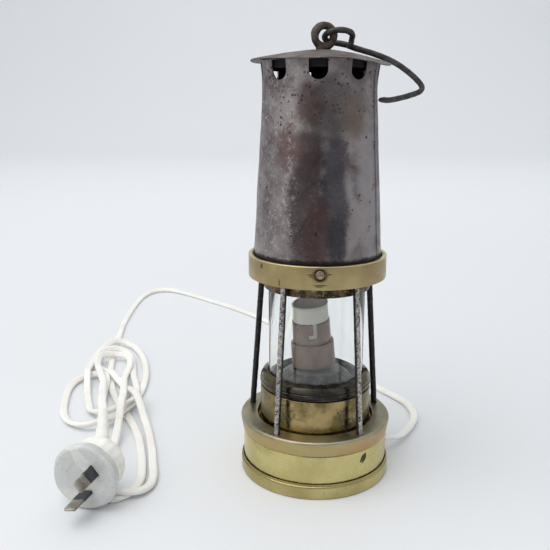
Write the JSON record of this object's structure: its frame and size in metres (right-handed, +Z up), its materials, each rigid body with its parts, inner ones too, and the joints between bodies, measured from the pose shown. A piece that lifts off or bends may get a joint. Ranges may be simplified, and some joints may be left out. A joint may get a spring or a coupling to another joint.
{
  "type": "miner's safety lamp",
  "caption": "Brass and steel miner's safety lamp with pillars, glass, bonnet, ring and hook, converted to a mains lampholder with a white lead and plug.",
  "frame": {"origin": "centre of the flat base, on the surface that the lamp stands on", "axes": "+Z up along the lamp's axis, -Y towards the front, where one bonnet screw faces; the hook leans to +X"},
  "size_m": [0.2512, 0.4616, 0.2466],
  "materials": {
    "brass": "yellow brass, lightly tarnished, fine turned lines",
    "dull_brass": "dull olive-grey brass with rubbed edges",
    "bronze": "dark bronzed ring",
    "sheet_steel": "old sheet steel, mottled grey and purple-brown, rust pits",
    "crown_steel": "old sheet steel with a brown bloom",
    "pillar_steel": "speckled old steel rod",
    "screw_steel": "worn steel",
    "hook_steel": "blackened iron wire",
    "gauze_steel": "sooty wire gauze",
    "glass": "clear glass",
    "rubber": "black",
    "bakelite": "brown moulded, dulled",
    "white_insulator": "white, translucent",
    "dome_grey": "dark slate grey",
    "cord_white": "white flat twin cord",
    "plug_white": "cream white moulding",
    "plug_clear": "clear moulding, a little cloudy",
    "pin_metal": "nickelled blades with a black sleeve",
    "contact_brass": "bright",
    "spring_steel": "bright"
  },
  "bodies": {
    "fount": {"base_plate": "brass", "base_screw_1": "screw_steel", "base_screw_2": "screw_steel", "base_screw_3": "screw_steel", "foot_ring": "brass", "fount": "brass", "lock_plug": "hook_steel", "glass_seat": "bronze", "lower_gasket": "rubber", "glass": "glass", "burner_dome": "dome_grey", "holder_body": "bakelite", "holder_barrel": "bakelite", "holder_sleeve": "white_insulator", "terminal_block": "white_insulator", "contact_spring_1": "spring_steel", "contact_spring_2": "spring_steel", "cord_grommet": "cord_white", "inner_lead": "cord_white", "cord_run": "cord_white", "cord_hank": "cord_white", "cord_tail": "cord_white", "plug_face": "plug_clear", "plug_body": "plug_white", "plug_pin_1": "pin_metal", "plug_pin_2": "pin_metal"},
    "gauze_stack": {"upper_gasket": "rubber", "gauze_ring": "brass", "gauze": "gauze_steel"},
    "cage": {"lower_ring": "dull_brass", "pillar_1": "pillar_steel", "pillar_2": "pillar_steel", "pillar_3": "pillar_steel", "pillar_4": "pillar_steel", "pillar_5": "pillar_steel", "collar": "bronze", "middle_ring": "dull_brass", "bonnet_screw_1": "screw_steel", "bonnet_screw_2": "screw_steel", "bonnet_screw_3": "screw_steel", "bonnet": "sheet_steel", "crown_band": "sheet_steel", "crown": "crown_steel"},
    "eye": {"eye_ring": "crown_steel", "eye_washer": "screw_steel"},
    "hook": {"hook": "hook_steel"},
    "contact_1": {"contact_plunger_1": "contact_brass"},
    "contact_2": {"contact_plunger_2": "contact_brass"}
  },
  "joints": [
    {"name": "cage_lift", "type": "slide", "parent": "fount", "child": "gauze_stack", "axis": [0, 0, 1], "range_m": [0, 0.0051]},
    {"name": "cage_turn", "type": "hinge", "parent": "gauze_stack", "child": "cage", "pos_m": [0, 0, 0.1142], "axis": [0, 0, 1], "range_deg": [0, 900]},
    {"name": "eye_swivel", "type": "hinge", "parent": "cage", "child": "eye", "pos_m": [0, 0, 0.2315], "axis": [0, 0, 1], "continuous": true},
    {"name": "hook_swing", "type": "hinge", "parent": "eye", "child": "hook", "pos_m": [0.00191, 0.00059, 0.2395], "axis": [0.2924, -0.9563, 0], "range_deg": [0, 200]},
    {"name": "contact_1_press", "type": "slide", "parent": "fount", "child": "contact_1", "axis": [-0.0872, 0, 0.9962], "range_m": [-0.0015, 0], "stiffness_N_per_m": 1000, "springref_m": 0.0005, "deforming": ["contact_spring_1"]},
    {"name": "contact_2_press", "type": "slide", "parent": "fount", "child": "contact_2", "axis": [-0.0872, 0, 0.9962], "range_m": [-0.0015, 0], "stiffness_N_per_m": 1000, "springref_m": 0.0005, "deforming": ["contact_spring_2"]}
  ],
  "couplings": [
    {"joint": "cage_lift", "follows": "cage_turn", "m_per_rad": 0.00031831}
  ]
}
